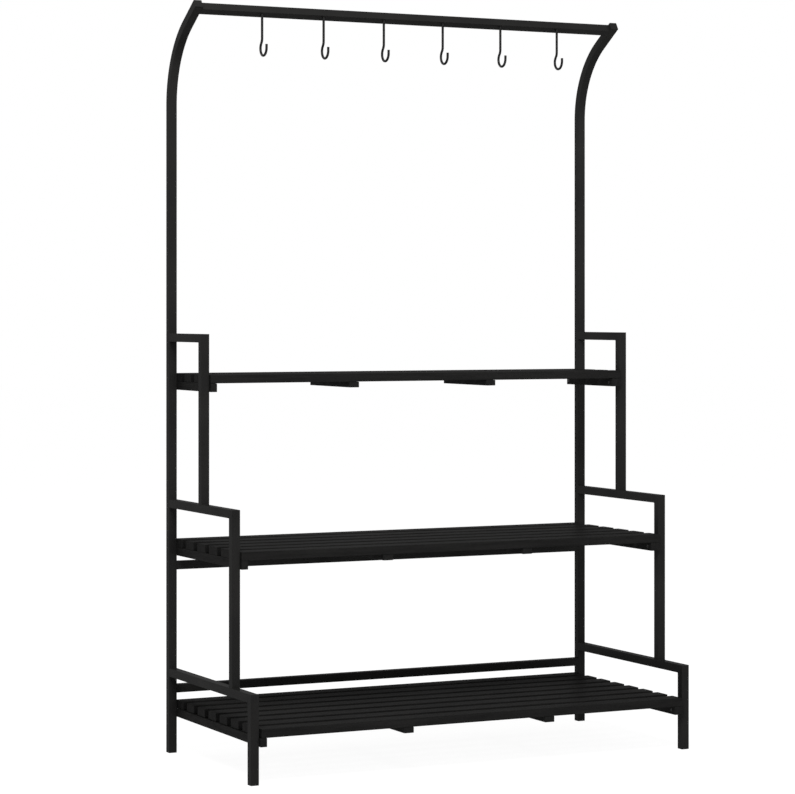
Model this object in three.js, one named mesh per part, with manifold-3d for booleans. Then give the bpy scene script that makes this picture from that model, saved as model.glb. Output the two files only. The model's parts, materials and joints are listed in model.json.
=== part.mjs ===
// Hall tree with hooks: a stepped steel stand with three slatted shelves and a hook rail.
//
// Units are millimetres.  +X runs to the viewer's right, -Y faces the viewer, +Z is up.
// The origin is on the floor, under the middle of the whole object.
//
// Every tier of a side frame is an arm that leaves the rear post, and a front post that hangs
// from the arm's end and stands on the arm of the tier below.

import * as THREE from 'three';
import { mergeVertices } from 'three/addons/utils/BufferGeometryUtils.js';
import Module from 'manifold-3d';

// ---------------------------------------------------------------- driving dimensions

const OVERALL_WIDTH = 1160;
const TUBE = 20;
const TUBE_WALL = 1.2;
const TUBE_CORNER = 0.8;
const BORE_CORNER = 0.4;
const CLEARANCE = 0.3;

// Distances forward are measured from the rear faces of the rear posts.
const TIERS = [
  { name: 'top', depth: 227, armTop: 1014 },
  { name: 'middle', depth: 413, armTop: 613 },
  { name: 'bottom', depth: 522, armTop: 205 },
];
const SHELVES = [
  { slatTop: 918, slatCount: 4, slatWidth: 42, shelfBack: 4, endInset: 0 },
  { slatTop: 517, slatCount: 6, slatWidth: 50, shelfBack: 2, endInset: 0 },
  { slatTop: 127, slatCount: 8, slatWidth: 45, shelfBack: 8, endInset: 3.2 },
];
const SHELF_OVERHANG = 8;
const SLAT_THICKNESS = 20;
const SLAT_EDGE = 1;
const INNER_BATTEN = { width: 25, height: 13.5 };
const INNER_BATTEN_X = 186.5;
const LEFT_END_BATTEN = { width: 16.3, height: 20 };
const RIGHT_END_BATTEN = { width: 24.7, height: 20 };

const STRETCHERS = [
  { name: 'middle', bottom: 443 },
  { name: 'bottom', bottom: 145 },
];

const BEND_START = 1566;
const BEND_RADIUS = 218;
const BEND_ANGLE = THREE.MathUtils.degToRad(58);
const STUB_LENGTH = 84;
const RAIL_ALONG_STUB = 65;

const CAP_FLANGE = 3;
const CAP_PLUG = 14;

const HOOK_COUNT = 6;
const HOOK_PITCH = 162;
const HOOK_ROW_SHIFT = 2.5;
const WIRE_RADIUS = 3;
const HOOK_SHANK_DEPTH = 174.5;
const HOOK_BOW_RADIUS = 18.2;
const HOOK_BOW_HEIGHT = 1697;
const HOOK_NECK_RADIUS = 18;
const HOOK_SET_BACK = 9.7;
const HOOK_TIP_RISE = 8;
const HOOK_HEAD_RADIUS = 4.2;
const HOOK_HEAD_HEIGHT = 2;
const HOOK_HOLE_RADIUS = 3.5;

// ---------------------------------------------------------------- derived dimensions

const OVERALL_DEPTH = TIERS[2].depth + SHELF_OVERHANG;
const INNER_HALF_WIDTH = OVERALL_WIDTH / 2 - TUBE;
const FRAME_X = OVERALL_WIDTH / 2 - TUBE / 2;
const SIDES = [
  { name: 'left', sign: -1 },
  { name: 'right', sign: 1 },
];

// Row Y of a point that lies the given distance in front of the rear posts' rear faces.
const depthY = (forward) => OVERALL_DEPTH / 2 - forward;

const X_AXIS = new THREE.Vector3(1, 0, 0);

// Centre line of the rear post's bent top, in (forward, up).
const bendPoint = (angle) => new THREE.Vector2(
  TUBE / 2 + BEND_RADIUS * (1 - Math.cos(angle)),
  BEND_START + BEND_RADIUS * Math.sin(angle),
);
const stubDirection = new THREE.Vector2(Math.sin(BEND_ANGLE), Math.cos(BEND_ANGLE));
const stubPoint = (along) => bendPoint(BEND_ANGLE).addScaledVector(stubDirection, along);
const railCentre = stubPoint(RAIL_ALONG_STUB);
const railTilt = Math.PI / 2 - BEND_ANGLE;

// ---------------------------------------------------------------- materials

const finish = (color, roughness, metalness) => ({ color, roughness, metalness });
const STEEL = finish(0x1a1a1b, 0.5, 0.35);
const WOOD = finish(0x1b1a1a, 0.6, 0);
const PLASTIC = finish(0x151515, 0.65, 0);
const WIRE = finish(0x17171a, 0.45, 0.4);

// ---------------------------------------------------------------- solids

const wasm = await Module();
wasm.setup();

// A closed solid from a three.js geometry.
function toSolid(geometry) {
  const bare = geometry.clone();
  for (const name of Object.keys(bare.attributes)) {
    if (name !== 'position') bare.deleteAttribute(name);
  }
  const merged = mergeVertices(bare, 1e-4);
  return new wasm.Manifold(new wasm.Mesh({
    numProp: 3,
    vertProperties: new Float32Array(merged.attributes.position.array),
    triVerts: new Uint32Array(merged.index.array),
  }));
}

// A three.js geometry from a closed solid.
function fromSolid(solid) {
  const mesh = solid.getMesh();
  const geometry = new THREE.BufferGeometry();
  geometry.setAttribute('position', new THREE.BufferAttribute(mesh.vertProperties, 3));
  geometry.setIndex(new THREE.BufferAttribute(mesh.triVerts, 1));
  const flat = geometry.toNonIndexed();
  flat.computeVertexNormals();
  return flat;
}

const cut = (geometry, tool) => fromSolid(toSolid(geometry).subtract(toSolid(tool)));
const join = (first, second) => fromSolid(toSolid(first).add(toSolid(second)));

// Outline of a rounded rectangle, centred on its own axes.
function roundedRectangle(target, width, height, radius, steps = 2) {
  const corners = [
    [width / 2 - radius, height / 2 - radius, 0],
    [radius - width / 2, height / 2 - radius, 90],
    [radius - width / 2, radius - height / 2, 180],
    [width / 2 - radius, radius - height / 2, 270],
  ];
  const points = [];
  for (const [x, y, start] of corners) {
    for (let step = 0; step <= steps; step += 1) {
      const angle = THREE.MathUtils.degToRad(start + (90 * step) / steps);
      points.push(new THREE.Vector2(x + radius * Math.cos(angle), y + radius * Math.sin(angle)));
    }
  }
  target.setFromPoints(points);
  return target;
}

// Cross-section of the square tube.
function tubeSection() {
  const section = roundedRectangle(new THREE.Shape(), TUBE, TUBE, TUBE_CORNER);
  const inside = TUBE - 2 * TUBE_WALL;
  const hole = roundedRectangle(new THREE.Path(), inside, inside, BORE_CORNER, 1);
  section.holes.push(hole);
  return section;
}

// A bar of constant section that runs along +Z from zero to its length.
function bar(section, length) {
  return new THREE.ExtrudeGeometry(section, { depth: length, steps: 1, bevelEnabled: false });
}

const straightTube = (length) => bar(tubeSection(), length);

// A path through fixed stations, each with its own tangent, so straight runs need one step.
class StationPath extends THREE.Curve {
  constructor(stations) {
    super();
    this.stations = stations;
  }

  get steps() {
    return this.stations.length - 1;
  }

  nearest(t) {
    return this.stations[Math.round(t * this.steps)];
  }

  getPoint(t, target = new THREE.Vector3()) {
    return target.copy(this.nearest(t).point);
  }

  getPointAt(t, target = new THREE.Vector3()) {
    return this.getPoint(t, target);
  }

  getTangent(t, target = new THREE.Vector3()) {
    return target.copy(this.nearest(t).tangent);
  }

  getTangentAt(t, target = new THREE.Vector3()) {
    return this.getTangent(t, target);
  }

  getSpacedPoints(divisions = this.steps) {
    return this.getPoints(divisions);
  }
}

// A station in the object's side view: forward and up, and the direction of travel there.
function station(forward, up, forwardStep, upStep) {
  return {
    point: new THREE.Vector3(0, depthY(forward), up),
    tangent: new THREE.Vector3(0, -forwardStep, upStep).normalize(),
  };
}

// Stations round an arc in the side view.  Angles are measured from forward towards up.
function arcStations(centreForward, centreUp, radius, fromDegrees, toDegrees, steps) {
  const turn = Math.sign(toDegrees - fromDegrees);
  const stations = [];
  for (let step = 0; step <= steps; step += 1) {
    const degrees = fromDegrees + ((toDegrees - fromDegrees) * step) / steps;
    const angle = THREE.MathUtils.degToRad(degrees);
    const cosine = Math.cos(angle);
    const sine = Math.sin(angle);
    stations.push(station(
      centreForward + radius * cosine,
      centreUp + radius * sine,
      -turn * sine,
      turn * cosine,
    ));
  }
  return stations;
}

function sweep(section, stations) {
  const path = new StationPath(stations);
  return new THREE.ExtrudeGeometry(section, { steps: path.steps, extrudePath: path });
}

// A block whose near face lies on a plane in the side view, used to trim a mitre.
function trimmingBlock(x, forward, up, normalForward, normalUp) {
  const size = 80;
  const block = new THREE.BoxGeometry(size, size, size);
  const normal = new THREE.Vector3(0, -normalForward, normalUp).normalize();
  const turn = new THREE.Quaternion().setFromUnitVectors(new THREE.Vector3(0, 0, 1), normal);
  block.translate(0, 0, size / 2);
  block.applyQuaternion(turn);
  block.translate(x, depthY(forward), up);
  return block;
}

// ---------------------------------------------------------------- scene helpers

const hallTree = new THREE.Group();

function addPiece(parent, name, geometry, look) {
  const mesh = new THREE.Mesh(geometry, new THREE.MeshStandardMaterial(look));
  mesh.name = name;
  parent.add(mesh);
  return mesh;
}

// ---------------------------------------------------------------- side frames

// The post rises from its foot cap, bends forward and ends in a short sloping stub.
function rearPostGeometry() {
  const bend = arcStations(
    TUBE / 2 + BEND_RADIUS,
    BEND_START,
    BEND_RADIUS,
    180,
    180 - THREE.MathUtils.radToDeg(BEND_ANGLE),
    12,
  );
  const tip = stubPoint(STUB_LENGTH - CAP_FLANGE - CLEARANCE);
  return sweep(tubeSection(), [
    station(TUBE / 2, CAP_FLANGE + CLEARANCE, 0, 1),
    ...bend,
    station(tip.x, tip.y, stubDirection.x, stubDirection.y),
  ]);
}

// A plug for the end of a tube: a flange of the tube's outline and a spigot inside the bore.
function capGeometry() {
  const flange = bar(roundedRectangle(new THREE.Shape(), TUBE, TUBE, TUBE_CORNER), CAP_FLANGE);
  const bore = TUBE - 2 * TUBE_WALL - 2 * CLEARANCE;
  const plug = bar(roundedRectangle(new THREE.Shape(), bore, bore, 0.8), CAP_PLUG);
  return join(flange, plug);
}

// The arm runs forward from the rear post and is mitred down into its front post.
function armGeometry(tier, x) {
  const start = TUBE + CLEARANCE;
  const arm = straightTube(tier.depth - start);
  arm.rotateX(Math.PI / 2);
  arm.translate(x, depthY(start), tier.armTop - TUBE / 2);
  const half = CLEARANCE / 2 / Math.SQRT2;
  return cut(arm, trimmingBlock(x, tier.depth - half, tier.armTop + half, 1, -1));
}

// The front post fills the corner below the mitre and stands on what is under it.
function frontPostGeometry(tier, x, standsOn) {
  const post = straightTube(tier.armTop - standsOn);
  post.translate(x, depthY(tier.depth - TUBE / 2), standsOn);
  const half = CLEARANCE / 2 / Math.SQRT2;
  return cut(post, trimmingBlock(x, tier.depth + half, tier.armTop - half, -1, 1));
}

function addSideFrame(side) {
  const frame = new THREE.Group();
  const x = side.sign * FRAME_X;

  const rearPost = addPiece(frame, `rear_post_${side.name}`, rearPostGeometry(), STEEL);
  rearPost.position.x = x;

  TIERS.forEach((tier, index) => {
    const below = TIERS[index + 1];
    const standsOn = below ? below.armTop + CLEARANCE : CAP_FLANGE + CLEARANCE;
    const postName = below ? `${tier.name}_front_post_${side.name}` : `front_leg_${side.name}`;
    addPiece(frame, `${tier.name}_arm_${side.name}`, armGeometry(tier, x), STEEL);
    addPiece(frame, postName, frontPostGeometry(tier, x, standsOn), STEEL);
  });

  const feet = [
    { name: 'rear', forward: TUBE / 2 },
    { name: 'front', forward: TIERS[2].depth - TUBE / 2 },
  ];
  for (const foot of feet) {
    const cap = addPiece(frame, `foot_cap_${foot.name}_${side.name}`, capGeometry(), PLASTIC);
    cap.position.set(x, depthY(foot.forward), 0);
  }

  const end = stubPoint(STUB_LENGTH);
  const endCap = addPiece(frame, `post_end_cap_${side.name}`, capGeometry(), PLASTIC);
  endCap.position.set(x, depthY(end.x), end.y);
  endCap.rotation.x = Math.PI + BEND_ANGLE;
  hallTree.add(frame);
}

// ---------------------------------------------------------------- rear stretchers and rail

function addStretcher(stretcher) {
  const length = 2 * (INNER_HALF_WIDTH - CLEARANCE);
  const mesh = addPiece(
    hallTree,
    `${stretcher.name}_rear_stretcher`,
    straightTube(length),
    STEEL,
  );
  mesh.rotation.y = Math.PI / 2;
  mesh.position.set(-length / 2, depthY(TUBE / 2), stretcher.bottom + TUBE / 2);
}

const hookX = (index) => (index - (HOOK_COUNT - 1) / 2) * HOOK_PITCH + HOOK_ROW_SHIFT;

// The rail lies between the post stubs and tilts with them; each hook has a hole in its underside.
function addRail() {
  const length = 2 * (INNER_HALF_WIDTH - CLEARANCE);
  const rail = straightTube(length);
  rail.rotateY(Math.PI / 2);
  rail.translate(-length / 2, 0, 0);
  rail.applyQuaternion(new THREE.Quaternion().setFromAxisAngle(X_AXIS, -railTilt));
  rail.translate(0, depthY(railCentre.x), railCentre.y);
  let geometry = rail;
  for (let index = 0; index < HOOK_COUNT; index += 1) {
    const drill = new THREE.CylinderGeometry(HOOK_HOLE_RADIUS, HOOK_HOLE_RADIUS, TUBE / 2, 12);
    drill.rotateX(Math.PI / 2);
    drill.translate(hookX(index), depthY(HOOK_SHANK_DEPTH), hookSeat() - TUBE / 4);
    geometry = cut(geometry, drill);
  }
  addPiece(hallTree, 'hook_rail', geometry, STEEL);
}

// ---------------------------------------------------------------- hooks

// Height of the hook head's underside, just clear of the rail's lower wall inside the bore.
function hookSeat() {
  const forward = HOOK_SHANK_DEPTH + HOOK_HEAD_RADIUS - railCentre.x;
  const wall = (TUBE / 2 - TUBE_WALL) / Math.cos(railTilt);
  return railCentre.y - wall + forward * Math.tan(railTilt) + CLEARANCE;
}

// The wire falls straight from its head, steps back through the neck, and turns up in a bow.
function hookStations() {
  const bend = THREE.MathUtils.radToDeg(Math.acos(1 - HOOK_SET_BACK / (2 * HOOK_NECK_RADIUS)));
  const drop = 2 * HOOK_NECK_RADIUS * Math.sin(THREE.MathUtils.degToRad(bend));
  const shank = HOOK_SHANK_DEPTH;
  const neckTop = HOOK_BOW_HEIGHT + drop;
  const rearLeg = shank - HOOK_SET_BACK;
  const bow = rearLeg + HOOK_BOW_RADIUS;
  const upper = arcStations(shank - HOOK_NECK_RADIUS, neckTop, HOOK_NECK_RADIUS, 0, -bend, 4);
  const lower = arcStations(
    rearLeg + HOOK_NECK_RADIUS,
    HOOK_BOW_HEIGHT,
    HOOK_NECK_RADIUS,
    180 - bend,
    180,
    4,
  );
  const round = arcStations(bow, HOOK_BOW_HEIGHT, HOOK_BOW_RADIUS, 180, 360, 14);
  return [
    station(shank, hookSeat() + HOOK_HEAD_HEIGHT / 2, 0, -1),
    ...upper,
    ...lower.slice(1),
    ...round.slice(1),
    station(bow + HOOK_BOW_RADIUS, HOOK_BOW_HEIGHT + HOOK_TIP_RISE, 0, 1),
  ];
}

function addHook(index) {
  const points = [];
  for (let corner = 0; corner < 10; corner += 1) {
    const angle = (corner / 10) * Math.PI * 2;
    points.push(new THREE.Vector2(Math.cos(angle), Math.sin(angle)).multiplyScalar(WIRE_RADIUS));
  }
  const wire = sweep(new THREE.Shape(points), hookStations());
  const head = new THREE.CylinderGeometry(HOOK_HEAD_RADIUS, HOOK_HEAD_RADIUS, HOOK_HEAD_HEIGHT, 12);
  head.rotateX(Math.PI / 2);
  head.translate(0, depthY(HOOK_SHANK_DEPTH), hookSeat() + HOOK_HEAD_HEIGHT / 2);
  const hook = addPiece(hallTree, `hook_${index + 1}`, join(wire, head), WIRE);
  hook.position.x = hookX(index);
}

// ---------------------------------------------------------------- shelves

function addSlats(parent, tier, shelf) {
  const front = tier.depth + SHELF_OVERHANG;
  const pitch = (front - shelf.shelfBack - shelf.slatWidth) / (shelf.slatCount - 1);
  const length = 2 * (INNER_HALF_WIDTH - CLEARANCE - shelf.endInset);
  for (let index = 0; index < shelf.slatCount; index += 1) {
    const outline = new THREE.Shape();
    roundedRectangle(outline, SLAT_THICKNESS, shelf.slatWidth, SLAT_EDGE);
    const slat = addPiece(parent, `${tier.name}_slat_${index + 1}`, bar(outline, length), WOOD);
    const centre = shelf.shelfBack + shelf.slatWidth / 2 + pitch * index;
    slat.rotation.y = Math.PI / 2;
    slat.position.set(-length / 2, depthY(centre), shelf.slatTop - SLAT_THICKNESS / 2);
  }
}

// The battens run from back to front under the slats; the end ones lie against the side frames.
function addBattens(parent, tier, shelf) {
  const length = tier.depth + SHELF_OVERHANG - shelf.shelfBack;
  const top = shelf.slatTop - SLAT_THICKNESS - CLEARANCE;
  const wallX = INNER_HALF_WIDTH - CLEARANCE;
  const battens = [
    { x: LEFT_END_BATTEN.width / 2 - wallX, size: LEFT_END_BATTEN },
    { x: -INNER_BATTEN_X, size: INNER_BATTEN },
    { x: INNER_BATTEN_X, size: INNER_BATTEN },
    { x: wallX - RIGHT_END_BATTEN.width / 2, size: RIGHT_END_BATTEN },
  ];
  battens.forEach(({ x, size }, index) => {
    const outline = new THREE.Shape();
    roundedRectangle(outline, size.width, size.height, SLAT_EDGE, 1);
    const piece = addPiece(parent, `${tier.name}_batten_${index + 1}`, bar(outline, length), WOOD);
    piece.rotation.x = Math.PI / 2;
    piece.position.set(x, depthY(shelf.shelfBack), top - size.height / 2);
  });
}

function addShelf(tier, index) {
  const group = new THREE.Group();
  addSlats(group, tier, SHELVES[index]);
  addBattens(group, tier, SHELVES[index]);
  hallTree.add(group);
}

// ---------------------------------------------------------------- assembly

SIDES.forEach(addSideFrame);
STRETCHERS.forEach(addStretcher);
addRail();
for (let index = 0; index < HOOK_COUNT; index += 1) addHook(index);
TIERS.forEach(addShelf);

hallTree.updateMatrixWorld(true);

export default hallTree;
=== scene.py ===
"""The finished look of the hall tree with hooks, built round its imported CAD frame.

Lengths are in metres.  +X runs to the viewer's right, -Y faces the viewer and +Z is up.
Places come from the CAD nodes' boxes, and sizes that a box doesn't give are named fields.
"""

import json
import logging
import math
from collections.abc import Iterable, Mapping, Sequence
from dataclasses import dataclass, field
from enum import Enum

import bmesh
import bpy
from bmesh.types import BMEdge, BMFace, BMVert
from bpy.types import Material, Node, NodeSocket, NodeTree, Object
from mathutils import Matrix, Vector


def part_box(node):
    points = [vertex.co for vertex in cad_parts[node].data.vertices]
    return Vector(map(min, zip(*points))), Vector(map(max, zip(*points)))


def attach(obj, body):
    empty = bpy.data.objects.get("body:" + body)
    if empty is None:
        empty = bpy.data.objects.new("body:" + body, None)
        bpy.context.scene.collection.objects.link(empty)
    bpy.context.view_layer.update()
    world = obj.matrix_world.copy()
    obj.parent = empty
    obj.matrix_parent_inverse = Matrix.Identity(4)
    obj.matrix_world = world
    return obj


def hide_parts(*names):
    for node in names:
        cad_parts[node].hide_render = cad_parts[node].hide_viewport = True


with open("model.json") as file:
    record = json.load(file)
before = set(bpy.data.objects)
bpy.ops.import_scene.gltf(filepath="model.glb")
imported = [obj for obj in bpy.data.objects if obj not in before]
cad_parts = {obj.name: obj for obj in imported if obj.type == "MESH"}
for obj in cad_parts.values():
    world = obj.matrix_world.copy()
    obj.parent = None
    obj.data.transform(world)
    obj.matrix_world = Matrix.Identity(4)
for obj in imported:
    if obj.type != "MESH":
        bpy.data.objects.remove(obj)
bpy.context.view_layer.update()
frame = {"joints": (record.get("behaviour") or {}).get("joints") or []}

LOG = logging.getLogger("hall_tree")
MM = 0.001
CAD_GAP = 0.3 * MM
ROOT_BODY = "frame"
HOOK_COUNT = 6
X_AXIS = Vector((1, 0, 0))
Y_AXIS = Vector((0, 1, 0))
Z_AXIS = Vector((0, 0, 1))
SHARP_EDGE = math.radians(40)
ROUND_FACETS = 3

Colour = tuple[float, float, float]
Place = tuple[float, float, float]
Span = tuple[float, float]
Level = tuple[float, float]
Settings = Mapping[str, object]
Sockets = Mapping[str | int, object]


class Side(Enum):
    """The two ends of the stand, as they appear from the front."""

    LEFT = "left"
    RIGHT = "right"

    @property
    def sign(self) -> int:
        """-1 on the left and 1 on the right."""
        return -1 if self is Side.LEFT else 1


class Tier(Enum):
    """The three steps of the stand, from the top down."""

    TOP = "top"
    MIDDLE = "middle"
    BOTTOM = "bottom"

    @property
    def slat_count(self) -> int:
        """How many slats the tier's shelf has."""
        return {Tier.TOP: 4, Tier.MIDDLE: 6, Tier.BOTTOM: 8}[self]

    def front_post(self, side: Side) -> str:
        """Finds the upright that hangs from this tier's arm.

        Args:
            side: The side frame that it belongs to.

        Returns:
            The upright's CAD node.
        """
        if self is Tier.BOTTOM:
            return f"front_leg_{side.value}"
        return f"{self.value}_front_post_{side.value}"


class Grain(Enum):
    """The way a board's grain runs, as stretches of the pattern on each axis."""

    ALONG_X = (0.055, 1.0, 1.0)
    ALONG_Y = (1.0, 0.055, 1.0)


class Slot(Enum):
    """The record's material slots."""

    STEEL = "black_steel"
    WOOD = "black_wood"
    PLASTIC = "black_plastic"
    WIRE = "black_wire"


# ---- shader building


class Signal:
    """A value socket that takes part in arithmetic."""

    def __init__(self, shading: "Shading", socket: NodeSocket) -> None:
        """Wraps a socket.

        Args:
            shading: The node tree that the socket belongs to.
            socket: The output socket.
        """
        self.shading = shading
        self.socket = socket

    def _math(self, operation: str, *values: "Signal | float") -> "Signal":
        """Adds one Math node.

        Args:
            operation: The node's operation.
            values: Its inputs in order.

        Returns:
            The node's result.
        """
        sockets = dict(enumerate(values))
        node = self.shading.node("ShaderNodeMath", {"operation": operation}, sockets)
        return Signal(self.shading, node.outputs[0])

    def __add__(self, other: "Signal | float") -> "Signal":
        """The sum."""
        return self._math("ADD", self, other)

    __radd__ = __add__

    def __sub__(self, other: "Signal | float") -> "Signal":
        """The difference."""
        return self._math("SUBTRACT", self, other)

    def __rsub__(self, other: float) -> "Signal":
        """The difference, the other way round."""
        return self._math("SUBTRACT", other, self)

    def __mul__(self, other: "Signal | float") -> "Signal":
        """The product."""
        return self._math("MULTIPLY", self, other)

    __rmul__ = __mul__

    def clamp(self) -> "Signal":
        """The value held between 0 and 1."""
        return self._math("MINIMUM", self._math("MAXIMUM", self, 0.0), 1.0)


class Shading:
    """A node tree under construction."""

    def __init__(self, tree: NodeTree) -> None:
        """Starts from an emptied tree.

        Args:
            tree: A material's or the world's tree.
        """
        self.tree = tree
        self.tree.nodes.clear()

    def node(
        self, kind: str, settings: Settings | None = None, sockets: Sockets | None = None
    ) -> Node:
        """Adds a node.

        Args:
            kind: The node's type.
            settings: Properties, set before any socket.
            sockets: A value or a link for each input, by name or by number.

        Returns:
            The node.
        """
        node = self.tree.nodes.new(kind)
        for key, value in (settings or {}).items():
            setattr(node, key, value)
        self.feed(node, sockets or {})
        return node

    def feed(self, node: Node, sockets: Sockets) -> None:
        """Sets or links a node's inputs.

        Args:
            node: The node.
            sockets: A value or a link for each input, by name or by number.
        """
        for key, value in sockets.items():
            target = node.inputs[key]
            if isinstance(value, Signal):
                value = value.socket
            if isinstance(value, NodeSocket):
                self.tree.links.new(value, target)
            else:
                target.default_value = value

    def shown(self) -> Signal:
        """1 where the eye, a reflection or a clear piece sees the surface, and 0 elsewhere.

        Returns:
            The value.
        """
        path = self.node("ShaderNodeLightPath")
        rays = ("Is Camera Ray", "Is Glossy Ray", "Is Transmission Ray")
        camera, glossy, through = (Signal(self, path.outputs[ray]) for ray in rays)
        return (camera + glossy + through).clamp()


class Paint(Shading):
    """A material under construction, with one Principled shader."""

    # A Mix node has a pair of inputs and an output for each data type, all named alike.
    MIX_SHARE = 0
    MIX_COLOURS = (6, 7)
    MIX_RESULT = 2

    def __init__(self, name: str) -> None:
        """Starts a material.

        Args:
            name: The material's name.
        """
        self.material = bpy.data.materials.new(name)
        self.material.use_nodes = True
        super().__init__(self.material.node_tree)
        self.shader = self.node("ShaderNodeBsdfPrincipled")
        sockets = {"Surface": self.shader.outputs[0]}
        self.output = self.node("ShaderNodeOutputMaterial", sockets=sockets)

    def place(self, stretch: Sequence[float] = (1, 1, 1)) -> NodeSocket:
        """The piece's own coordinates.

        Args:
            stretch: A factor on each axis.

        Returns:
            A vector output.
        """
        where = self.node("ShaderNodeTexCoord").outputs["Object"]
        sockets = {"Vector": where, "Scale": tuple(stretch)}
        return self.node("ShaderNodeMapping", sockets=sockets).outputs[0]

    def noise(
        self, where: NodeSocket, scale: float, detail: float = 2.0, warp: float = 0.0
    ) -> Signal:
        """Soft noise between 0 and 1.

        Args:
            where: The coordinates.
            scale: Features per metre.
            detail: Octaves of finer noise.
            warp: Distortion.

        Returns:
            The noise value.
        """
        sockets = {"Vector": where, "Scale": scale, "Detail": detail, "Distortion": warp}
        return Signal(self, self.node("ShaderNodeTexNoise", sockets=sockets).outputs[0])

    def spread(self, value: Signal, span: Span) -> Signal:
        """Stretches a value.

        Args:
            value: The value.
            span: What becomes 0 and what becomes 1.

        Returns:
            The stretched value, held between 0 and 1.
        """
        low, high = span
        return ((value - low) * (1 / (high - low))).clamp()

    def blend(self, share: Signal, first: Colour, second: Colour) -> NodeSocket:
        """Mixes two colours.

        Args:
            share: The second colour's share.
            first: The first colour.
            second: The second colour.

        Returns:
            A colour output.
        """
        a, b = self.MIX_COLOURS
        sockets = {self.MIX_SHARE: share, a: (*first, 1), b: (*second, 1)}
        mix = self.node("ShaderNodeMix", {"data_type": "RGBA"}, sockets)
        return mix.outputs[self.MIX_RESULT]

    def bump(self, height: Signal, depth: float) -> NodeSocket:
        """Relief for the shader's normal.

        Args:
            height: The height, in depths.
            depth: One depth, in metres.

        Returns:
            A normal output.
        """
        sockets = {"Height": height, "Distance": depth}
        return self.node("ShaderNodeBump", sockets=sockets).outputs[0]


# ---- finishes


@dataclass(frozen=True)
class PowderCoat:
    """Satin black powder coat over welded steel tube."""

    name: str = "black_powder_coat"
    deep: Colour = (0.0098, 0.0097, 0.0096)
    pale: Colour = (0.0144, 0.0140, 0.0135)
    roughness: float = 0.5
    skin_weight: float = 0.09
    skin_roughness: float = 0.28
    drift_per_metre: float = 9.0
    peel_per_metre: float = 420.0
    grit_per_metre: float = 1428.0
    peel_depth: float = 0.02 * MM
    tone_span: Span = (0.32, 0.68)

    def material(self) -> Material:
        """Builds the coat: drifts of tone, an orange-peel skin and fine grit.

        Returns:
            The material.
        """
        paint = Paint(self.name)
        where = paint.place()
        drift = paint.noise(where, self.drift_per_metre, 3.0)
        peel = paint.noise(where, self.peel_per_metre)
        grit = paint.noise(where, self.grit_per_metre, 1.0)
        tone = paint.spread(drift * 0.7 + peel * 0.3, self.tone_span)
        height = peel + grit * 0.25
        paint.feed(paint.shader, {
            "Base Color": paint.blend(tone, self.deep, self.pale),
            "Roughness": self.roughness - 0.05 + drift * 0.08 + grit * 0.03,
            "Specular IOR Level": 0.0,
            "Coat Weight": self.skin_weight * (0.85 + drift * 0.3),
            "Coat Roughness": self.skin_roughness,
            "Normal": paint.bump(height, self.peel_depth),
        })
        return paint.material


@dataclass(frozen=True)
class PaintedTimber:
    """Straight-grained boards under a thin matt black paint that lets the grain show."""

    grain: Grain
    deep: Colour = (0.0072, 0.0071, 0.0070)
    pale: Colour = (0.0125, 0.0122, 0.0119)
    roughness: float = 0.6
    skin_weight: float = 0.055
    skin_roughness: float = 0.4
    figure_per_metre: float = 120.0
    figure_warp: float = 0.6
    pores_per_metre: float = 900.0
    pore_depth: float = 0.05 * MM
    board_per_metre: float = 6.0
    pore_span: Span = (0.52, 0.72)
    tone_span: Span = (0.34, 0.66)

    def material(self) -> Material:
        """Builds the boards' finish: long growth figure, short open pores and brushed paint.

        Returns:
            The material.
        """
        paint = Paint(f"black_timber_{self.grain.name.lower()}")
        along = paint.place(self.grain.value)
        figure = paint.noise(along, self.figure_per_metre, 4.0, self.figure_warp)
        pores = paint.spread(paint.noise(along, self.pores_per_metre), self.pore_span)
        board = paint.noise(paint.place(), self.board_per_metre)
        tone = paint.spread(figure * 0.65 + board * 0.35, self.tone_span) * (1 - pores * 0.45)
        height = figure * 0.8 - pores
        paint.feed(paint.shader, {
            "Base Color": paint.blend(tone, self.deep, self.pale),
            "Roughness": self.roughness + pores * 0.12 - figure * 0.06,
            "Specular IOR Level": 0.0,
            "Coat Weight": self.skin_weight * (1.2 - pores * 0.8),
            "Coat Roughness": self.skin_roughness,
            "Normal": paint.bump(height, self.pore_depth),
        })
        return paint.material


@dataclass(frozen=True)
class MouldedPlastic:
    """Matt black moulded plastic with a fine spark-eroded texture."""

    name: str = "black_moulded_plastic"
    deep: Colour = (0.0095, 0.0095, 0.0097)
    pale: Colour = (0.0140, 0.0139, 0.0137)
    roughness: float = 0.55
    skin_weight: float = 0.08
    skin_roughness: float = 0.45
    cloud_per_metre: float = 40.0
    grit_per_metre: float = 1600.0
    grit_depth: float = 0.02 * MM
    tone_span: Span = (0.36, 0.64)

    def material(self) -> Material:
        """Builds the plastic: clouds of tone under an even grit.

        Returns:
            The material.
        """
        paint = Paint(self.name)
        where = paint.place()
        grit = paint.noise(where, self.grit_per_metre)
        cloud = paint.noise(where, self.cloud_per_metre)
        tone = paint.spread(cloud * 0.5 + grit * 0.5, self.tone_span)
        paint.feed(paint.shader, {
            "Base Color": paint.blend(tone, self.deep, self.pale),
            "Roughness": self.roughness - 0.04 + grit * 0.08,
            "Specular IOR Level": 0.0,
            "Coat Weight": self.skin_weight * (0.8 + cloud * 0.4),
            "Coat Roughness": self.skin_roughness,
            "Normal": paint.bump(grit, self.grit_depth),
        })
        return paint.material


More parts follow.
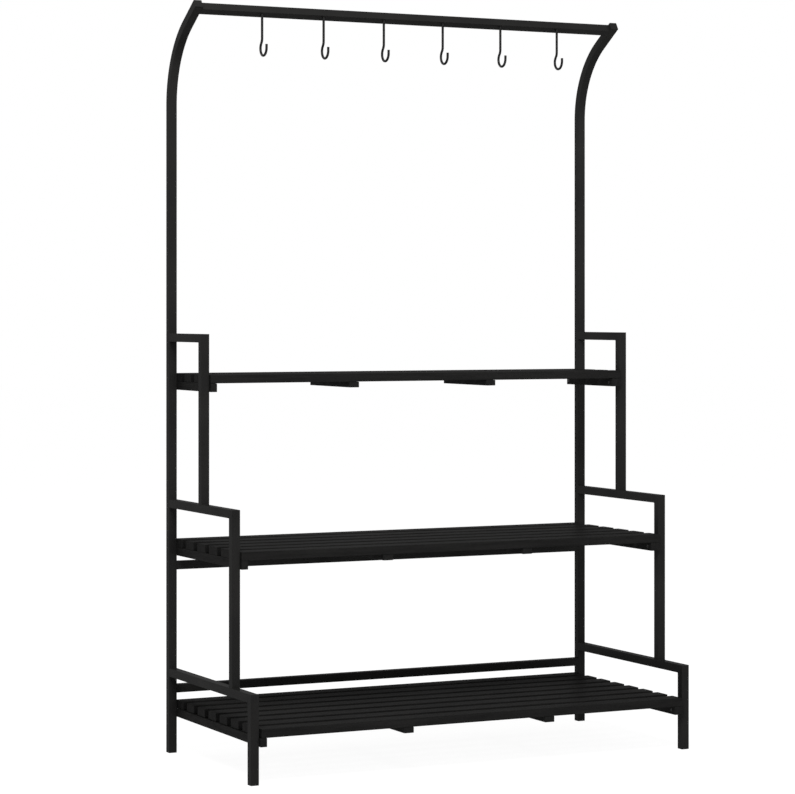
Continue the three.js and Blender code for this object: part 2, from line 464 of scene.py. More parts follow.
@dataclass(frozen=True)
class CoatedWire:
    """Drawn steel rod with a thin dipped black coat, smooth and a little glossier."""

    name: str = "black_coated_wire"
    deep: Colour = (0.0085, 0.0085, 0.0088)
    pale: Colour = (0.0130, 0.0128, 0.0125)
    roughness: float = 0.45
    skin_weight: float = 0.15
    skin_roughness: float = 0.28
    cloud_per_metre: float = 70.0
    runs_per_metre: float = 520.0
    runs_stretch: Place = (1.0, 1.0, 0.2)
    runs_depth: float = 0.012 * MM
    tone_span: Span = (0.35, 0.65)

    def material(self) -> Material:
        """Builds the coat: faint runs along the wire over fine grit.

        Returns:
            The material.
        """
        paint = Paint(self.name)
        runs = paint.noise(paint.place(self.runs_stretch), self.runs_per_metre)
        cloud = paint.noise(paint.place(), self.cloud_per_metre)
        tone = paint.spread(cloud * 0.6 + runs * 0.4, self.tone_span)
        paint.feed(paint.shader, {
            "Base Color": paint.blend(tone, self.deep, self.pale),
            "Roughness": self.roughness - 0.04 + cloud * 0.08,
            "Specular IOR Level": 0.0,
            "Coat Weight": self.skin_weight * (0.8 + cloud * 0.4),
            "Coat Roughness": self.skin_roughness,
            "Normal": paint.bump(runs, self.runs_depth),
        })
        return paint.material


@dataclass(frozen=True)
class BlackedScrew:
    """Black-oxide steel of the screws, clouded in tone and faintly scuffed all over."""

    name: str = "blacked_screw_steel"
    deep: Colour = (0.008, 0.008, 0.009)
    pale: Colour = (0.020, 0.020, 0.019)
    roughness: float = 0.5
    cloud_per_metre: float = 260.0
    scuffs_per_metre: float = 1900.0
    scuff_depth: float = 0.01 * MM
    tone_span: Span = (0.40, 0.66)

    def material(self) -> Material:
        """Builds the screws' finish: clouded oxide, a little rougher where it is scuffed.

        Returns:
            The material.
        """
        paint = Paint(self.name)
        where = paint.place()
        cloud = paint.noise(where, self.cloud_per_metre, 3.0)
        scuff = paint.noise(where, self.scuffs_per_metre)
        tone = paint.spread(cloud * 0.6 + scuff * 0.4, self.tone_span)
        paint.feed(paint.shader, {
            "Base Color": paint.blend(tone, self.deep, self.pale),
            "Metallic": tone * 0.3 + 0.1,
            "Roughness": self.roughness + scuff * 0.1,
            "Normal": paint.bump(scuff, self.scuff_depth),
        })
        return paint.material


# ---- mesh building


def vertices(faces: Iterable[BMFace]) -> list[BMVert]:
    """The vertices of some faces, once each."""
    return list({v: None for face in faces for v in face.verts})


def region(faces: Sequence[BMFace]) -> list[BMFace | BMEdge | BMVert]:
    """Some faces with their edges and vertices, as an extrusion takes them."""
    edges = {edge: None for face in faces for edge in face.edges}
    return [*faces, *edges, *vertices(faces)]


class Form:
    """A mesh under construction, in metres."""

    def __init__(self) -> None:
        """Starts an empty mesh."""
        self.bm = bmesh.new()

    def plate(self, width: float, radius: float) -> BMFace:
        """A flat square with rounded corners, on the XY plane round the origin.

        Args:
            width: Its size.
            radius: The corners' radius.

        Returns:
            The face.
        """
        before = set(self.bm.faces)
        made = bmesh.ops.create_grid(self.bm, x_segments=1, y_segments=1, size=0.5)["verts"]
        bmesh.ops.scale(self.bm, vec=(width, width, 1), verts=made)
        bmesh.ops.bevel(
            self.bm, geom=made, offset=radius, offset_type="OFFSET", segments=ROUND_FACETS,
            profile=0.5, affect="VERTICES", material=-1,
        )
        return next(face for face in self.bm.faces if face not in before)

    def disc(self, radius: float, segments: int) -> BMFace:
        """A flat round face on the XY plane round the origin.

        Args:
            radius: Its radius.
            segments: Sides of its outline.

        Returns:
            The face.
        """
        made = bmesh.ops.create_circle(self.bm, cap_ends=True, radius=radius, segments=segments)
        return made["verts"][0].link_faces[0]

    def hollow(self, face: BMFace, inner: float) -> list[BMFace]:
        """Turns a face round the origin into a ring.

        Args:
            face: The face.
            inner: The hole's size against the face's.

        Returns:
            The ring's faces.
        """
        before = set(self.bm.faces)
        core = self.push([face], (0, 0, 0), inner)
        ring = [f for f in self.bm.faces if f not in before and f not in core]
        bmesh.ops.delete(self.bm, geom=[face, *core], context="FACES_ONLY")
        return ring

    def push(
        self, faces: Sequence[BMFace], move: Vector | Sequence[float], size: float = 1.0
    ) -> list[BMFace]:
        """Extrudes faces.

        Args:
            faces: The faces.
            move: How far.
            size: The new end's size in the XY plane, round the origin.

        Returns:
            The faces at the new end.
        """
        made = bmesh.ops.extrude_face_region(self.bm, geom=region(faces))["geom"]
        verts = [item for item in made if isinstance(item, BMVert)]
        bmesh.ops.translate(self.bm, vec=move, verts=verts)
        if size != 1.0:
            bmesh.ops.scale(self.bm, vec=(size, size, 1), verts=verts)
        return [item for item in made if isinstance(item, BMFace)]

    def stack(
        self, faces: Sequence[BMFace], start: Level, levels: Iterable[Level]
    ) -> list[BMFace]:
        """Extrudes faces along Z through a run of levels.

        Args:
            faces: The faces.
            start: Their own height and their width or radius.
            levels: The height and the width or radius that each step reaches.

        Returns:
            The faces at the last level.
        """
        height, width = start
        for next_height, next_width in levels:
            faces = self.push(faces, (0, 0, next_height - height), next_width / width)
            height, width = next_height, next_width
        return list(faces)

    def bend(
        self, faces: Sequence[BMFace], centre: Vector, degrees: float, steps: int
    ) -> list[BMFace]:
        """Carries faces round an arc about an axis along X.

        Args:
            faces: The faces.
            centre: A point on the axis.
            degrees: The turn.
            steps: How many facets the arc has.

        Returns:
            The faces at the new end.
        """
        made = bmesh.ops.spin(
            self.bm, geom=region(faces), cent=centre, axis=X_AXIS, dvec=(0, 0, 0),
            angle=math.radians(degrees), steps=steps, use_merge=False, use_duplicate=False,
        )["geom_last"]
        return [item for item in made if isinstance(item, BMFace)]

    def ease(self, radius: float) -> None:
        """Rounds every edge that isn't flat.

        Args:
            radius: How far the rounding reaches from the edge.
        """
        edges = [e for e in self.bm.edges if e.calc_face_angle(0.0) > SHARP_EDGE]
        bmesh.ops.bevel(
            self.bm, geom=edges, offset=radius, offset_type="OFFSET", segments=ROUND_FACETS,
            profile=0.5, affect="EDGES", clamp_overlap=True, material=-1,
        )

    def move(self, matrix: Matrix, verts: Sequence[BMVert] | None = None) -> None:
        """Transforms some vertices, or all of them."""
        bmesh.ops.transform(self.bm, matrix=matrix, verts=verts or self.bm.verts[:])

    def add(self, other: "Form", places: Iterable[Matrix]) -> None:
        """Copies another form into this one.

        Args:
            other: The form, which is used up.
            places: Where each copy goes.
        """
        mesh = bpy.data.meshes.new("copy")
        for place in places:
            other.bm.to_mesh(mesh)
            mesh.transform(place)
            self.bm.from_mesh(mesh)
        bpy.data.meshes.remove(mesh)
        other.bm.free()

    def tidy(self) -> None:
        """Closes seams and points every face outwards."""
        bmesh.ops.remove_doubles(self.bm, verts=self.bm.verts[:], dist=1e-6)
        bmesh.ops.recalc_face_normals(self.bm, faces=self.bm.faces[:])

    def to_object(self, name: str, drills: "Form | None" = None) -> Object:
        """Makes the finished object.

        Args:
            name: The object's name.
            drills: A form to cut away, which is used up.

        Returns:
            The object, at the origin, with its place in its mesh.
        """
        self.tidy()
        if drills is not None:
            self.cut(drills)
        for face in self.bm.faces:
            face.smooth = True
        for edge in self.bm.edges:
            edge.smooth = edge.calc_face_angle(math.pi) < SHARP_EDGE
        piece = self.link(name)
        shading = piece.modifiers.new("even_shading", "WEIGHTED_NORMAL")
        shading.keep_sharp = True
        return piece

    def link(self, name: str) -> Object:
        """Puts the mesh in the scene, which uses the form up.

        Args:
            name: The object's name.

        Returns:
            The object.
        """
        mesh = bpy.data.meshes.new(name)
        self.bm.to_mesh(mesh)
        self.bm.free()
        piece = bpy.data.objects.new(name, mesh)
        bpy.context.scene.collection.objects.link(piece)
        return piece

    def cut(self, drills: "Form") -> None:
        """Cuts another form away from this one.

        Args:
            drills: The form to cut away, which is used up.
        """
        drills.tidy()
        work = self.link("work")
        tool = drills.link("drills")
        boolean = work.modifiers.new("drill", "BOOLEAN")
        boolean.operation = "DIFFERENCE"
        boolean.solver = "EXACT"
        boolean.object = tool
        graph = bpy.context.evaluated_depsgraph_get()
        result = bpy.data.meshes.new_from_object(work.evaluated_get(graph))
        self.bm = bmesh.new()
        self.bm.from_mesh(result)
        for block in (work, tool):
            mesh = block.data
            bpy.data.objects.remove(block)
            bpy.data.meshes.remove(mesh)
        bpy.data.meshes.remove(result)


@dataclass(frozen=True)
class TubeStock:
    """The square steel tube that the stand is welded from."""

    size: float = 20 * MM
    wall: float = 1.2 * MM
    corner: float = 0.8 * MM

    def start(self, form: Form, at: Matrix) -> list[BMFace]:
        """Lays the tube's section in place.

        Args:
            form: The form to draw in.
            at: Takes the section's plane, XY, and its middle to their place.

        Returns:
            The section's faces.
        """
        before = set(form.bm.verts)
        face = form.plate(self.size, self.corner)
        ring = form.hollow(face, 1 - 2 * self.wall / self.size)
        form.move(at, [v for v in form.bm.verts if v not in before])
        return ring

    def straight(self, form: Form, at: Matrix, length: float) -> list[BMFace]:
        """Draws a straight tube along the section's own Z.

        Args:
            form: The form to draw in.
            at: The place of the near end.
            length: The tube's length.

        Returns:
            The faces of the far end.
        """
        along = at.to_3x3() @ Z_AXIS
        return form.push(self.start(form, at), along * length)


STOCK = TubeStock()


def middle(node: str) -> Vector:
    """The middle of a CAD node's box."""
    low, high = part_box(node)
    return (low + high) / 2


def facing(direction: Vector, at: Vector) -> Matrix:
    """A place whose own Z points along a direction."""
    return Matrix.Translation(at) @ Z_AXIS.rotation_difference(direction).to_matrix().to_4x4()


@dataclass(frozen=True)
class WeldBead:
    """A short fillet of overlapping ripples in the corner between two tubes."""

    radius: float = 1.5 * MM
    end_radius: float = 0.825 * MM
    ripple: float = 0.05
    pitch: float = 1.5 * MM
    facets: int = 12
    stand_off: float = 0.35 * MM
    short: float = 0.6 * MM

    def lay(self, form: Form, start: Vector, end: Vector) -> None:
        """Lays one bead.

        Args:
            form: The form to draw in.
            start: The middle of one end.
            end: The middle of the other end.
        """
        run = end - start
        steps = 2 * round(run.length / self.pitch)
        levels = []
        for step in range(1, steps):
            ripple = self.ripple if step % 2 else -self.ripple
            levels.append((run.length * step / steps, self.radius * (1 + ripple)))
        levels.append((run.length, self.end_radius))
        bead = Form()
        tip = bead.disc(self.end_radius, self.facets)
        bead.stack([tip], (0, self.end_radius), levels)
        form.add(bead, [facing(run.normalized(), start)])


BEAD = WeldBead()


@dataclass(frozen=True)
class TubeCap:
    """A moulded plug for a tube's end, drawn with its face down and its plug up."""

    foot: bool
    corner: float = 1.2 * MM
    flange: float = 3 * MM
    ease: float = 0.6 * MM
    ease_shoulder: float = 0.3
    neck: float = 19.5 * MM
    plug: float = 17 * MM
    plug_top: float = 14 * MM
    plug_lead: float = 1.5 * MM
    plug_taper: float = 0.93
    well_share: float = 0.74
    well_depth: float = 0.7 * MM
    well_taper: float = 0.95
    pad_share: float = 0.62
    pad_height: float = 0.5 * MM
    pad_taper: float = 0.94
    dish_share: float = 0.78
    dish_depth: float = 0.22 * MM
    dish_taper: float = 0.97

    def form(self, at: Matrix) -> Form:
        """Draws the cap.

        Args:
            at: The place of the middle of its outer face.

        Returns:
            The form.
        """
        form = Form()
        full = STOCK.size
        half_ease = self.ease / 2
        width = full - 2 * self.ease
        face = form.plate(width, self.corner - half_ease)
        form.stack([face], (0, width), [
            (half_ease, full - 2 * self.ease_shoulder * self.ease),
            (self.ease, full),
            (self.flange - half_ease, full),
            (self.flange, self.neck),
            (self.flange, self.plug),
            (self.plug_top - self.plug_lead, self.plug),
            (self.plug_top, self.plug * self.plug_taper),
        ])
        dish = self.dish_share * width
        dished = [(0, dish), (self.dish_depth, self.dish_taper * dish)]
        form.stack([face], (0, width), self.foot_well(width) if self.foot else dished)
        form.move(at)
        return form

    def foot_well(self, width: float) -> list[Level]:
        """Shapes a foot's underside, which stands on its rim round a well with a pad in it.

        Args:
            width: The face's width.

        Returns:
            The heights and widths of the well and its pad.
        """
        well = self.well_share * width
        pad = self.pad_share * self.well_taper * well
        return [
            (0, well),
            (self.well_depth, self.well_taper * well),
            (self.well_depth, pad),
            (self.well_depth - self.pad_height, self.pad_taper * pad),
        ]


@dataclass(frozen=True)
class Screw:
    """A countersunk screw's head, drawn with its driving face down at the origin."""

    radius: float
    height: float
    socket: float
    facets: int = 18
    land: float = 0.25 * MM
    taper: float = 0.45
    socket_share: float = 0.55
    socket_taper: float = 0.96

    def head(self) -> Form:
        """Draws the head with its hexagonal socket.

        Returns:
            The form.
        """
        form = Form()
        outer = form.disc(self.radius, self.facets)
        form.stack([outer], (0, self.radius), [
            (self.land, self.radius), (self.land + self.height, self.taper * self.radius),
        ])
        face = form.disc(self.socket, 6)
        form.push([face], (0, 0, self.socket_share * self.height), self.socket_taper)
        bmesh.ops.delete(form.bm, geom=[outer, face], context="FACES_ONLY")
        rims = [e for e in form.bm.edges if e.is_boundary]
        bmesh.ops.bridge_loops(form.bm, edges=rims)
        return form

    def heads(self, spots: Iterable[Matrix], depth: float) -> Form:
        """Sets a head in each of several holes.

        Args:
            spots: Where each screw's axis meets the surface.
            depth: How far the heads sit below the surface.

        Returns:
            The heads.
        """
        sunk = Matrix.Translation((0, 0, depth))
        heads = Form()
        heads.add(self.head(), [spot @ sunk for spot in spots])
        return heads


def drill(radius: float, depth: float, mouth: float = 0.0, facets: int = 24) -> Form:
    """A round tool that cuts upwards through a surface at the origin.

    Args:
        radius: The hole's radius.
        depth: How far up it goes.
        mouth: The radius at the surface, where the hole is countersunk.
        facets: Sides of the tool.

    Returns:
        The form.
    """
    form = Form()
    wide = mouth or radius
    below = -1 * MM
    face = form.disc(wide, facets)
    bmesh.ops.translate(form.bm, vec=(0, 0, below), verts=face.verts[:])
    countersink = [(0, wide), (wide - radius, radius)] if mouth else []
    form.stack([face], (below, wide), [*countersink, (depth, radius)])
    return form


# ---- assemblies


@dataclass
class Assembly:
    """A group of pieces that are made and dressed together."""

    made: list[str] = field(default_factory=list, init=False)

    def dress(
        self,
        piece: Object,
        finish: Material,
        slot: Slot,
        stands_for: Sequence[str] = (),
        body: str = ROOT_BODY,
    ) -> None:
        """Gives a piece its finish and its place in the frame.

        Args:
            piece: The piece.
            finish: Its material.
            slot: The record's slot that the piece belongs to. Not used.
            stands_for: CAD nodes that it replaces.
            body: The CAD body that it rides on.
        """
        piece.data.materials.clear()
        piece.data.materials.append(finish)
        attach(piece, body)
        if stands_for:
            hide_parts(*stands_for)
        self.made.append(piece.name)
        LOG.info("%s rides on %s, %d faces", piece.name, body, len(piece.data.polygons))


@dataclass
class SideFrame(Assembly):
    """One welded side: a bent rear post, three arms and the posts that hang from them."""

    side: Side
    coat: Material
    plastic: Material
    bend_start: float = 1566 * MM
    bend_radius: float = 218 * MM
    bend_degrees: float = 58.0
    bend_facets: int = 29
    stub_length: float = 84 * MM

    def __post_init__(self) -> None:
        """Finds the side's own plane and the rear post's axis."""
        low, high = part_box(f"rear_post_{self.side.value}")
        self.x = (low.x + high.x) / 2
        self.post_y = high.y - STOCK.size / 2
        turn = math.radians(self.bend_degrees)
        self.stub = Vector((0, -math.sin(turn), math.cos(turn)))
        self.stub_foot = Vector((
            self.x,
            self.post_y - self.bend_radius * (1 - math.cos(turn)),
            self.bend_start + self.bend_radius * math.sin(turn),
        ))

    def build(self) -> None:
        """Builds every piece of the side."""
        self.rear_post()
        for tier in Tier:
            self.arm(tier)
            self.front_post(tier)
        self.welds()
        self.caps()

    def rear_post(self) -> None:
        """Bends the rear post from one length of tube."""
        form = Form()
        foot = Vector((self.x, self.post_y, TubeCap.flange))
        faces = STOCK.straight(form, Matrix.Translation(foot), self.bend_start - foot.z)
        centre = Vector((self.x, self.post_y - self.bend_radius, self.bend_start))
        faces = form.bend(faces, centre, self.bend_degrees, self.bend_facets)
        form.push(faces, self.stub * (self.stub_length - TubeCap.flange))
        node = f"rear_post_{self.side.value}"
        self.dress(form.to_object(f"{node}_tube"), self.coat, Slot.STEEL, [node])

    def arm(self, tier: Tier) -> None:
        """Makes an arm that butts the rear post and is mitred down at its front.

        Args:
            tier: The arm's tier.
        """
        node = f"{tier.value}_arm_{self.side.value}"
        low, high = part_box(node)
        height = (low.z + high.z) / 2
        back = self.post_y - STOCK.size / 2
        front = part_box(tier.front_post(self.side))[0].y + STOCK.size / 2
        form = Form()
        at = facing(-Y_AXIS, Vector((self.x, back, height)))
        end = STOCK.straight(form, at, back - front)
        mitre = Matrix.Identity(4)
        mitre[1][2], mitre[1][3] = -1.0, height
        form.move(mitre, vertices(end))
        self.dress(form.to_object(f"{node}_tube"), self.coat, Slot.STEEL, [node])

    def front_post(self, tier: Tier) -> None:
        """Makes the upright under an arm's front end, mitred to it.

        Args:
            tier: The upright's tier.
        """
        node = tier.front_post(self.side)
        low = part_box(node)[0]
        y = low.y + STOCK.size / 2
        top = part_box(f"{tier.value}_arm_{self.side.value}")[1].z - STOCK.size / 2
        bottom = TubeCap.flange if tier is Tier.BOTTOM else low.z - CAD_GAP
        form = Form()
        end = STOCK.straight(form, Matrix.Translation((self.x, y, bottom)), top - bottom)
        mitre = Matrix.Identity(4)
        mitre[2][1], mitre[2][3] = -1.0, y
        form.move(mitre, vertices(end))
        self.dress(form.to_object(f"{node}_tube"), self.coat, Slot.STEEL, [node])

    def welds(self) -> None:
        """Lays the beads at the arms' roots, inside the mitres and round the posts' feet."""
        form = Form()
        reach = Vector((STOCK.size / 2 - BEAD.short, 0, 0))
        gap = BEAD.stand_off
        spots = []
        for tier in Tier:
            arm_low, arm_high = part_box(f"{tier.value}_arm_{self.side.value}")
            post_low, post_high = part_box(tier.front_post(self.side))
            root = self.post_y - STOCK.size / 2 - gap
            spots += [(root, arm_high.z + gap), (root, arm_low.z - gap)]
            spots.append((post_high.y + gap, arm_low.z - gap))
            if tier is not Tier.BOTTOM:
                foot = post_low.z - CAD_GAP + gap
                spots += [(post_low.y - gap, foot), (post_high.y + gap, foot)]
        for y, z in spots:
            spot = Vector((self.x, y, z))
            BEAD.lay(form, spot - reach, spot + reach)
        self.dress(form.to_object(f"welds_{self.side.value}"), self.coat, Slot.STEEL)

    def caps(self) -> None:
        """Fits the foot caps and the cap on the rear post's sloping end."""
        for foot in ("rear", "front"):
            node = f"foot_cap_{foot}_{self.side.value}"
            centre = middle(node)
            self.cap(node, TubeCap(foot=True), Matrix.Translation((centre.x, centre.y, 0)))
        end = self.stub_foot + self.stub * self.stub_length
        node = f"post_end_cap_{self.side.value}"
        self.cap(node, TubeCap(foot=False), facing(-self.stub, end))

    def cap(self, node: str, cap: TubeCap, at: Matrix) -> None:
        """Makes one cap.

        Args:
            node: The cap's CAD node.
            cap: Its sizes.
            at: The place of the middle of its outer face.
        """
        piece = cap.form(at).to_object(f"{node}_moulding")
        self.dress(piece, self.plastic, Slot.PLASTIC, [node])


@dataclass
class CrossTube(Assembly):
    """A straight tube between the side frames, held by a grub screw at each end."""

    coat: Material
    screws: Material
    grub: Screw = Screw(3.0 * MM, 1.6 * MM, 1.5 * MM)
    grub_inset: float = 14 * MM
    grub_depth: float = 0.5 * MM
    grub_clearance: float = 0.2 * MM
    grub_hole_depth: float = 2.4 * MM

    def tube(self, node: str, tilt: Matrix, screwed: Vector, drills: Form) -> None:
        """Makes the tube and its grub screws.

        Args:
            node: The CAD node.
            tilt: How the tube is turned about its own length.
            screwed: The direction that the screwed face looks in.
            drills: Other holes to drill, which is used up.
        """
        low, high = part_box(node)
        centre = (low + high) / 2
        half = high.x + CAD_GAP
        start = Matrix.Translation((-half, centre.y, centre.z)) @ tilt @ facing(X_AXIS, Vector())
        form = Form()
        STOCK.straight(form, start, 2 * half)
        seat = centre + screwed * STOCK.size / 2
        reach = half - self.grub_inset
        spots = [facing(-screwed, Vector((x, seat.y, seat.z))) for x in (-reach, reach)]
        drills.add(drill(self.grub.radius + self.grub_clearance, self.grub_hole_depth), spots)
        heads = self.grub.heads(spots, self.grub_depth)
        self.dress(form.to_object(f"{node}_tube", drills), self.coat, Slot.STEEL, [node])
        self.dress(heads.to_object(f"{node}_grub_screws"), self.screws, Slot.STEEL)


@dataclass
class RearStretchers(CrossTube):
    """The two square tubes that tie the rear posts together."""

    nodes: tuple[str, ...] = ("middle_rear_stretcher", "bottom_rear_stretcher")

    def build(self) -> None:
        """Builds the stretchers, screwed from below."""
        for node in self.nodes:
            self.tube(node, Matrix(), -Z_AXIS, Form())


@dataclass
class HookRail(CrossTube):
    """The tilted rail between the post stubs, drilled underneath for the hooks."""

    hooks: Sequence["Hook"] = ()
    tilt_degrees: float = 32.0
    hole: float = 3.9 * MM
    hole_start: float = 2 * MM
    hole_depth: float = 12 * MM

    def build(self) -> None:
        """Builds the rail, screwed from behind."""
        tilt = Matrix.Rotation(math.radians(-self.tilt_degrees), 4, "X")
        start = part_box("hook_rail")[0].z - self.hole_start
        drills = Form()
        spots = [Matrix.Translation((hook.x, hook.y, start)) for hook in self.hooks]
        drills.add(drill(self.hole, self.hole_depth), spots)
        self.tube("hook_rail", tilt, tilt.to_3x3() @ Y_AXIS, drills)


@dataclass
class Hook(Assembly):
    """One bent wire hook that hangs from the rail by its head."""

    number: int
    coat: Material
    wire: float = 3.0 * MM
    head: float = 4.2 * MM
    head_height: float = 2 * MM
    head_seat: float = 3.78 * MM
    head_chamfer: float = 0.6 * MM
    neck_radius: float = 18 * MM
    set_back: float = 9.7 * MM
    bow_radius: float = 18.2 * MM
    bow_height: float = 1697 * MM
    tip_rise: float = 8 * MM
    tip_ease: float = 0.5 * MM
    tip_share: float = 0.82
    facets: int = 20
    neck_facets: int = 8
    bow_facets: int = 36

    def __post_init__(self) -> None:
        """Finds the shank's axis from the hook's joint."""
        joint = next(j for j in frame["joints"] if j["child"] == self.name)
        self.x, self.y = joint["pos_m"][0], joint["pos_m"][1]
        self.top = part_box(self.name)[1].z

    @property
    def name(self) -> str:
        """The hook's CAD node and body."""
        return f"hook_{self.number}"

    def build(self) -> None:
        """Bends the hook from its head down to its tip."""
        turn = math.degrees(math.acos(1 - self.set_back / (2 * self.neck_radius)))
        neck_top = self.bow_height + 2 * self.neck_radius * math.sin(math.radians(turn))
        seat = self.top - self.head_height
        form = Form()
        face = form.disc(self.head, self.facets)
        form.move(Matrix.Translation((0, 0, self.top)))
        faces = form.stack([face], (self.top, self.head), [
            (seat + self.head_chamfer, self.head),
            (seat, self.head_seat),
            (seat, self.wire),
            (neck_top, self.wire),
        ])
        form.move(Matrix.Translation((self.x, self.y, 0)))
        rear = self.y + self.set_back
        upper = Vector((self.x, self.y + self.neck_radius, neck_top))
        lower = Vector((self.x, rear - self.neck_radius, self.bow_height))
        bow = Vector((self.x, rear - self.bow_radius, self.bow_height))
        faces = form.bend(faces, upper, turn, self.neck_facets)
        faces = form.bend(faces, lower, -turn, self.neck_facets)
        faces = form.bend(faces, bow, -180, self.bow_facets)
        faces = form.push(faces, (0, 0, self.tip_rise - self.tip_ease))
        tip = vertices(form.push(faces, (0, 0, self.tip_ease)))
        centre = Vector((self.x, rear - 2 * self.bow_radius, 0))
        scale = Matrix.Diagonal((self.tip_share, self.tip_share, 1, 1))
        form.move(Matrix.Translation(centre) @ scale @ Matrix.Translation(-centre), tip)
        piece = form.to_object(f"{self.name}_wire")
        self.dress(piece, self.coat, Slot.WIRE, [self.name], self.name)


@dataclass
class Shelf(Assembly):
    """A shelf of slats screwed down on four battens."""

    tier: Tier
    slat_finish: Material
    batten_finish: Material
    screws: Material
    edge: float = 1.0 * MM
    screw: Screw = Screw(3.5 * MM, 2.2 * MM, 1.6 * MM)
    sink: float = 0.2 * MM
    pilot: float = 1.75 * MM
    pilot_depth: float = 4.5 * MM
    clearance: float = 0.3 * MM
    stagger: float = 2.5 * MM
    rear_inset: float = 12 * MM
    batten_count: int = 4
    end_battens: Mapping[int, Side] = field(
        default_factory=lambda: {1: Side.LEFT, 4: Side.RIGHT}
    )

    def build(self) -> None:
        """Builds the slats, the battens and their screws."""
        for node in self.slats():
            board = self.board(node)
            self.dress(board.to_object(f"{node}_board"), self.slat_finish, Slot.WOOD, [node])
        for number in range(1, self.batten_count + 1):
            self.batten(number)
        spots = [spot for number in self.end_battens for spot in self.side_spots(number)]
        heads = self.screw.heads(spots, self.sink)
        piece = heads.to_object(f"{self.tier.value}_shelf_side_screws")
        self.dress(piece, self.screws, Slot.STEEL)

    def slats(self) -> list[str]:
        """The CAD nodes of the shelf's slats, from the rear forwards."""
        return [f"{self.tier.value}_slat_{n}" for n in range(1, self.tier.slat_count + 1)]

    def board(self, node: str) -> Form:
        """Planes a board to a CAD node's box, with eased edges.

        Args:
            node: The CAD node.

        Returns:
            The form.
        """
        low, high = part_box(node)
        size = high - low
        form = Form()
        bmesh.ops.create_cube(form.bm, size=1.0)
        form.move(Matrix.Translation((low + high) / 2) @ Matrix.Diagonal((*size, 1)))
        form.ease(self.edge)
        return form

    def batten(self, number: int) -> None:
        """Makes one batten, screwed up into each slat and, at an end, out into the posts.

        Args:
            number: The batten's number, from the left.
        """
        node = f"{self.tier.value}_batten_{number}"
        low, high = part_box(node)
        x = (low.x + high.x) / 2
        spots = []
        for index, slat in enumerate(self.slats()):
            offset = -self.stagger if index % 2 else self.stagger
            spots.append(Matrix.Translation((x + offset, middle(slat).y, low.z)))
        drills = self.countersinks(spots)
        if number in self.end_battens:
            drills.add(self.countersinks(self.side_spots(number)), [Matrix()])
        piece = self.board(node).to_object(f"{node}_board", drills)
        self.dress(piece, self.batten_finish, Slot.WOOD, [node])
        heads = self.screw.heads(spots, self.sink).to_object(f"{node}_screws")
        self.dress(heads, self.screws, Slot.STEEL)

    def side_spots(self, number: int) -> list[Matrix]:
        """Where an end batten is screwed out into its two posts.

        Args:
            number: The batten's number.

        Returns:
            The screws' places on its inner face.
        """
        side = self.end_battens[number]
        low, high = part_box(f"{self.tier.value}_batten_{number}")
        face_x = high.x if side is Side.LEFT else low.x
        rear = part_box(f"rear_post_{side.value}")[1].y - self.rear_inset
        front = middle(self.tier.front_post(side)).y
        return [
            facing(X_AXIS * side.sign, Vector((face_x, y, (low.z + high.z) / 2)))
            for y in (rear, front)
        ]

    def countersinks(self, spots: Sequence[Matrix]) -> Form:
        """The tools that cut the screws' flared holes.

        Args:
            spots: The screws' places.

        Returns:
            The tools.
        """
        tool = drill(self.pilot, self.pilot_depth, self.screw.radius + self.clearance)
        tools = Form()
        tools.add(tool, spots)
        return tools


# ---- studio


@dataclass(frozen=True)
class Softbox:
    """A rectangular lamp aimed at a point."""

    name: str
    at: Place
    aim: Place
    width: float
    height: float
    watts: float

    def hang(self) -> None:
        """Adds the lamp."""
        light = bpy.data.lights.new(self.name, "AREA")
        light.shape = "RECTANGLE"
        light.size, light.size_y = self.width, self.height
        light.energy = self.watts
        lamp = bpy.data.objects.new(self.name, light)
        lamp.location = self.at
        aim = Vector(self.aim) - Vector(self.at)
        lamp.rotation_euler = aim.to_track_quat("-Z", "Y").to_euler()
        bpy.context.scene.collection.objects.link(lamp)


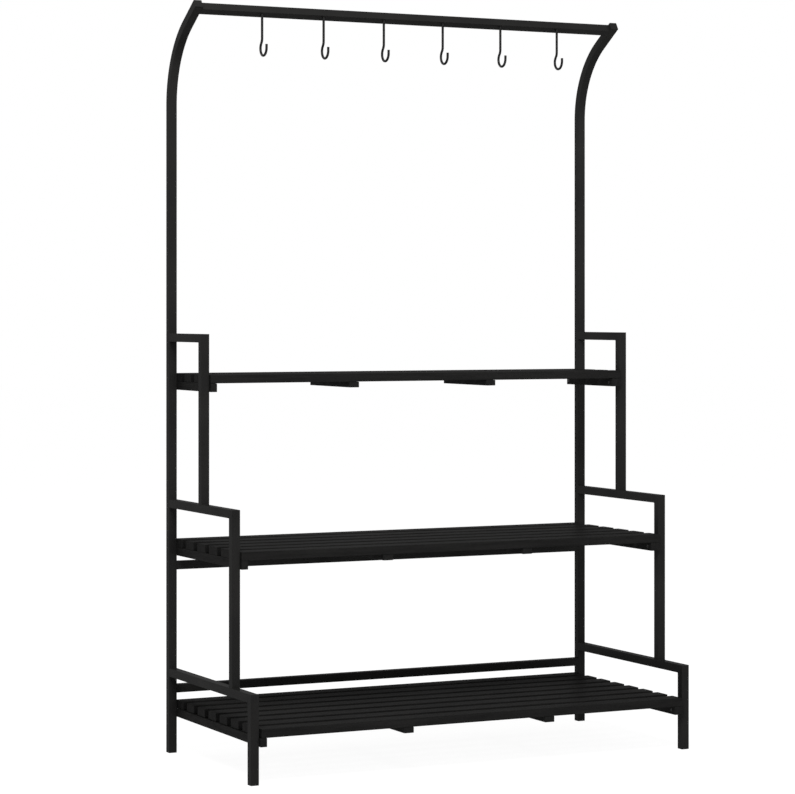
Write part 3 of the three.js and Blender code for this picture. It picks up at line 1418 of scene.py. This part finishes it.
@dataclass
class Studio:
    """A white sweep with soft light, and the camera."""

    floor_size: float = 60.0
    ambient: float = 0.45
    floor_colour: Colour = (0.82, 0.82, 0.82)
    floor_glow: float = 0.94
    shadow_share: float = 0.16
    softboxes: tuple[Softbox, ...] = (
        Softbox("key", (-1.5, -2.2, 3.6), (0.0, 0.0, 1.1), 1.8, 1.8, 160.0),
        Softbox("fill", (2.8, -3.0, 1.8), (0.0, 0.0, 0.9), 2.0, 2.0, 22.0),
        Softbox("back_fill", (-1.6, 3.2, 3.4), (0.0, 0.0, 0.9), 2.0, 2.0, 45.0),
    )
    camera_at: Place = (-2.9447, -5.7957, 1.0666)
    camera_yaw: float = -26.256
    lens: float = 121.163
    shift_up: float = -0.10732
    sight: float = 200.0

    def build(self) -> None:
        """Builds the floor, the world, the lamps and the camera."""
        self.floor()
        self.world()
        for softbox in self.softboxes:
            softbox.hang()
        self.camera()
        bpy.context.scene.view_settings.view_transform = "Standard"

    def floor(self) -> None:
        """Lays a white floor that shows as white and keeps the object's shadow."""
        form = Form()
        bmesh.ops.create_grid(form.bm, x_segments=1, y_segments=1, size=self.floor_size / 2)
        floor = form.link("floor")
        paint = Paint("white_sweep")
        paint.feed(paint.shader, {
            "Base Color": (*self.floor_colour, 1), "Roughness": 0.9, "Specular IOR Level": 0.0,
        })
        shown = paint.shown()
        glow = paint.node("ShaderNodeEmission", sockets={
            "Color": (1, 1, 1, 1), "Strength": shown * self.floor_glow,
        })
        lit = paint.node("ShaderNodeMixShader", sockets={
            0: shown * (1 - self.shadow_share), 1: paint.shader.outputs[0],
        })
        both = paint.node("ShaderNodeAddShader", sockets={
            0: lit.outputs[0], 1: glow.outputs[0],
        })
        paint.feed(paint.output, {"Surface": both.outputs[0]})
        floor.data.materials.append(paint.material)

    def world(self) -> None:
        """Surrounds the object with white that is full strength only where it is seen."""
        world = bpy.data.worlds.new("white_surround")
        bpy.context.scene.world = world
        world.use_nodes = True
        sky = Shading(world.node_tree)
        background = sky.node("ShaderNodeBackground", sockets={
            "Color": (1, 1, 1, 1),
            "Strength": self.ambient + sky.shown() * (1 - self.ambient),
        })
        sky.node("ShaderNodeOutputWorld", sockets={"Surface": background.outputs[0]})

    def camera(self) -> None:
        """Sets up a level camera with a long lens and a small drop of its frame."""
        data = bpy.data.cameras.new("camera")
        data.lens = self.lens
        data.shift_y = self.shift_up
        data.clip_end = self.sight
        camera = bpy.data.objects.new("camera", data)
        camera.location = self.camera_at
        camera.rotation_euler = (math.pi / 2, 0, math.radians(self.camera_yaw))
        bpy.context.scene.collection.objects.link(camera)
        bpy.context.scene.camera = camera


def main() -> None:
    """Builds the hall tree and its studio."""
    logging.basicConfig(level=logging.INFO, format="%(name)s: %(message)s")
    Studio().build()
    coat = PowderCoat().material()
    plastic = MouldedPlastic().material()
    wire = CoatedWire().material()
    screw = BlackedScrew().material()
    slat_finish = PaintedTimber(Grain.ALONG_X).material()
    batten_finish = PaintedTimber(Grain.ALONG_Y).material()
    hooks = [Hook(number, wire) for number in range(1, HOOK_COUNT + 1)]
    assemblies: list[Assembly] = [
        *(SideFrame(side, coat, plastic) for side in Side),
        RearStretchers(coat, screw),
        HookRail(coat, screw, hooks=hooks),
        *hooks,
        *(Shelf(tier, slat_finish, batten_finish, screw) for tier in Tier),
    ]
    for assembly in assemblies:
        assembly.build()
    LOG.info("%d pieces", sum(len(assembly.made) for assembly in assemblies))


if __name__ == "__main__":
    main()
